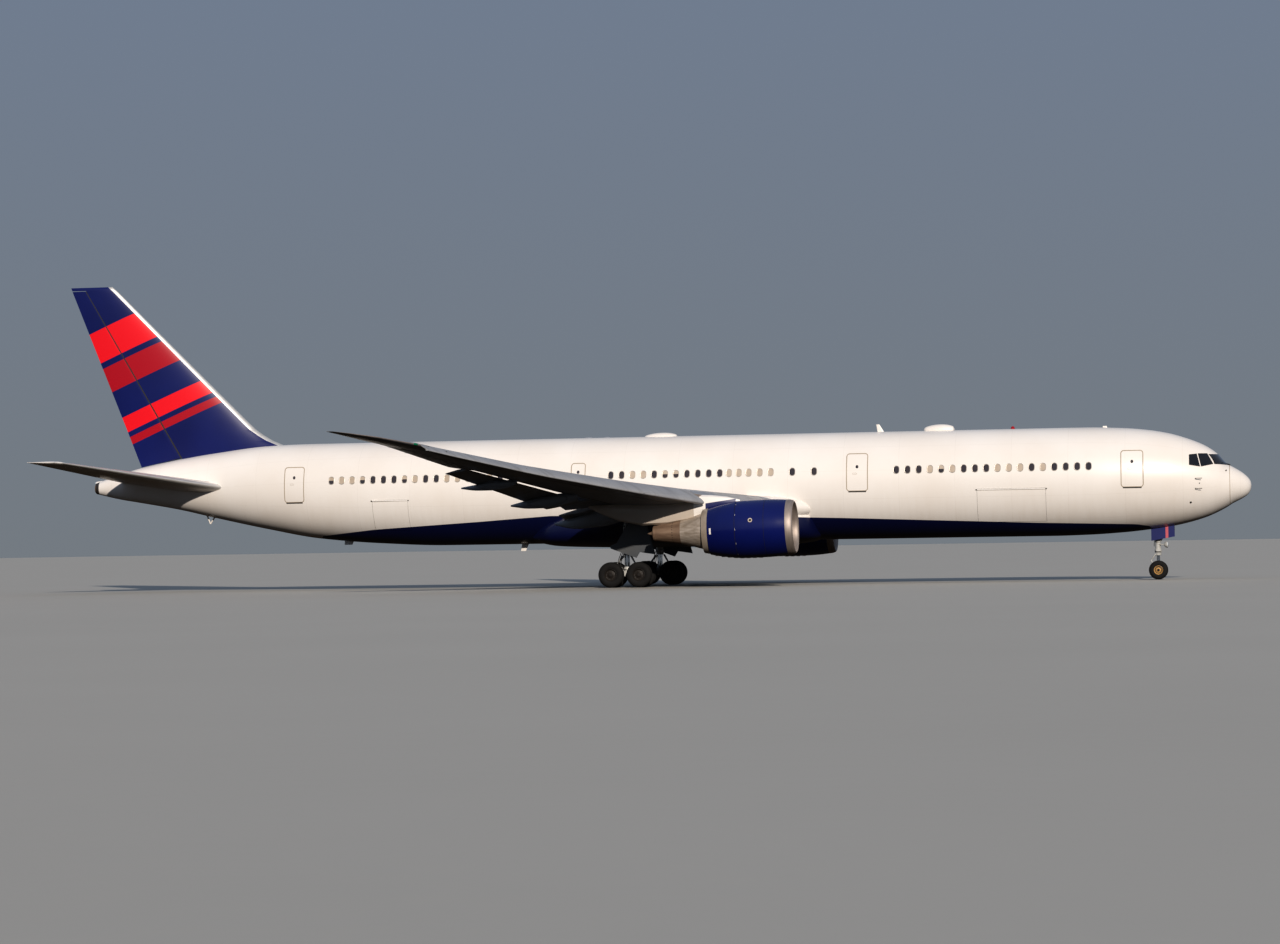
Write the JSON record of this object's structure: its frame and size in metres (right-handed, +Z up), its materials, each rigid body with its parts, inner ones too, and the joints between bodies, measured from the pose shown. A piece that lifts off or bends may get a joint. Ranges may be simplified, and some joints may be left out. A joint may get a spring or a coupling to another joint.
{
  "type": "wide body airliner, 1:2 scale model",
  "caption": "Long-range wide body airliner parked on its landing gear, with underwing turbofan engines, raked wingtips, part-lowered slats and flaps, and moving control surfaces and cargo doors",
  "frame": {"origin": "middle of the bounding box in plan, on the ground plane that the tyres stand on", "axes": "+X forward to the nose, +Y to the airliner's left wing, +Z up"},
  "size_m": [30.685, 25.96, 8.105],
  "materials": {
    "white_paint": "glossy airliner paint, slightly warm white",
    "navy_paint": "glossy dark navy blue paint",
    "grey_paint": "semi-gloss light grey wing paint",
    "bare_aluminium": "polished",
    "titanium": "satin machined titanium",
    "heated_metal": "satin, tinted brown by heat",
    "glass": "dark coated cockpit glass",
    "gear_paint": "light grey gear paint with some grime",
    "tyre": "matt rubber"
  },
  "bodies": {
    "airframe": {"radome": "white_paint", "fuselage_nose": "white_paint", "fuselage_forward": "white_paint", "fuselage_centre": "white_paint", "fuselage_aft": "white_paint", "fuselage_tail": "white_paint", "tail_cone": "white_paint", "cockpit_glazing": "glass", "wing_body_fairing": "navy_paint", "right_flap_inboard": "grey_paint", "right_flap_outboard": "grey_paint", "right_slat_inboard": "grey_paint", "right_slat_outboard": "grey_paint", "right_wing": "grey_paint", "right_inlet_lip": "bare_aluminium", "right_nacelle": "navy_paint", "right_engine_core": "heated_metal", "right_pylon": "grey_paint", "right_main_gear_leg": "gear_paint", "right_main_gear_door": "grey_paint", "right_nose_gear_door": "navy_paint", "right_stabilizer": "grey_paint", "left_flap_inboard": "grey_paint", "left_flap_outboard": "grey_paint", "left_slat_inboard": "grey_paint", "left_slat_outboard": "grey_paint", "left_wing": "grey_paint", "left_inlet_lip": "bare_aluminium", "left_nacelle": "navy_paint", "left_engine_core": "heated_metal", "left_pylon": "grey_paint", "left_main_gear_leg": "gear_paint", "left_main_gear_door": "grey_paint", "left_nose_gear_door": "navy_paint", "left_stabilizer": "grey_paint", "nose_gear_leg": "gear_paint", "fin": "navy_paint"},
    "forward_cargo_door": {"cargo_door_forward": "white_paint"},
    "aft_cargo_door": {"cargo_door_aft": "white_paint"},
    "right_fan_rotor": {"right_fan": "titanium"},
    "left_fan_rotor": {"left_fan": "titanium"},
    "right_front_wheels": {"right_main_wheels_front": "tyre"},
    "right_rear_wheels": {"right_main_wheels_rear": "tyre"},
    "left_front_wheels": {"left_main_wheels_front": "tyre"},
    "left_rear_wheels": {"left_main_wheels_rear": "tyre"},
    "nose_steering": {"nose_gear_steering": "gear_paint"},
    "nose_wheel_pair": {"nose_wheels": "tyre"},
    "rudder_surface": {"rudder": "navy_paint"},
    "right_elevator_surface": {"right_elevator": "grey_paint"},
    "left_elevator_surface": {"left_elevator": "grey_paint"},
    "right_inboard_aileron": {"right_aileron_inboard": "grey_paint"},
    "left_inboard_aileron": {"left_aileron_inboard": "grey_paint"},
    "right_outboard_aileron": {"right_aileron_outboard": "grey_paint"},
    "left_outboard_aileron": {"left_aileron_outboard": "grey_paint"}
  },
  "joints": [
    {"name": "forward_cargo_door_hinge", "type": "hinge", "parent": "airframe", "child": "forward_cargo_door", "pos_m": [9.4925, -1.25035, 2.295], "axis": [-1, 0, 0], "range_deg": [0, 150]},
    {"name": "aft_cargo_door_hinge", "type": "hinge", "parent": "airframe", "child": "aft_cargo_door", "pos_m": [-6.3825, -1.23391, 2.285], "axis": [-1, 0, 0], "range_deg": [0, 150]},
    {"name": "right_fan_spin", "type": "hinge", "parent": "airframe", "child": "right_fan_rotor", "pos_m": [3.76785, -3.96, 1.41301], "axis": [0.9995, 0, 0.0314], "continuous": true},
    {"name": "left_fan_spin", "type": "hinge", "parent": "airframe", "child": "left_fan_rotor", "pos_m": [3.76785, 3.96, 1.41301], "axis": [0.9995, 0, 0.0314], "continuous": true},
    {"name": "right_front_wheels_roll", "type": "hinge", "parent": "airframe", "child": "right_front_wheels", "pos_m": [0.3575, -2.325, 0.3175], "axis": [0, 1, 0], "continuous": true},
    {"name": "right_rear_wheels_roll", "type": "hinge", "parent": "airframe", "child": "right_rear_wheels", "pos_m": [-0.3525, -2.325, 0.3175], "axis": [0, 1, 0], "continuous": true},
    {"name": "left_front_wheels_roll", "type": "hinge", "parent": "airframe", "child": "left_front_wheels", "pos_m": [0.3575, 2.325, 0.3175], "axis": [0, 1, 0], "continuous": true},
    {"name": "left_rear_wheels_roll", "type": "hinge", "parent": "airframe", "child": "left_rear_wheels", "pos_m": [-0.3525, 2.325, 0.3175], "axis": [0, 1, 0], "continuous": true},
    {"name": "nose_gear_steer", "type": "hinge", "parent": "airframe", "child": "nose_steering", "pos_m": [13.0325, 0, 0.7], "axis": [0, 0, 1], "range_deg": [-65, 65]},
    {"name": "nose_wheels_roll", "type": "hinge", "parent": "nose_steering", "child": "nose_wheel_pair", "pos_m": [13.0325, 0, 0.235], "axis": [0, 1, 0], "continuous": true},
    {"name": "rudder_hinge", "type": "hinge", "parent": "airframe", "child": "rudder_surface", "pos_m": [-12.96416, 0, 4.575], "axis": [-0.504, 0, 0.8637], "range_deg": [-26, 26]},
    {"name": "right_elevator_hinge", "type": "hinge", "parent": "airframe", "child": "right_elevator_surface", "pos_m": [-13.35664, -1.45, 2.95998], "axis": [0.3596, 0.9263, -0.1122], "range_deg": [-20.5, 28.5]},
    {"name": "left_elevator_hinge", "type": "hinge", "parent": "airframe", "child": "left_elevator_surface", "pos_m": [-13.35664, 1.45, 2.95998], "axis": [-0.3596, 0.9263, 0.1122], "range_deg": [-20.5, 28.5]},
    {"name": "right_inboard_aileron_hinge", "type": "hinge", "parent": "airframe", "child": "right_inboard_aileron", "pos_m": [-0.4795, -3.598, 2.15069], "axis": [0.2195, 0.9653, -0.1415], "range_deg": [-9, 33]},
    {"name": "left_inboard_aileron_hinge", "type": "hinge", "parent": "airframe", "child": "left_inboard_aileron", "pos_m": [-0.4795, 3.598, 2.15069], "axis": [-0.2195, 0.9653, 0.1415], "range_deg": [-9, 33]},
    {"name": "right_outboard_aileron_hinge", "type": "hinge", "parent": "airframe", "child": "right_outboard_aileron", "pos_m": [-2.7657, -9.092, 3.00147], "axis": [0.4071, 0.8974, -0.1698], "range_deg": [-21, 21]},
    {"name": "left_outboard_aileron_hinge", "type": "hinge", "parent": "airframe", "child": "left_outboard_aileron", "pos_m": [-2.7657, 9.092, 3.00147], "axis": [-0.4071, 0.8974, 0.1698], "range_deg": [-21, 21]}
  ]
}
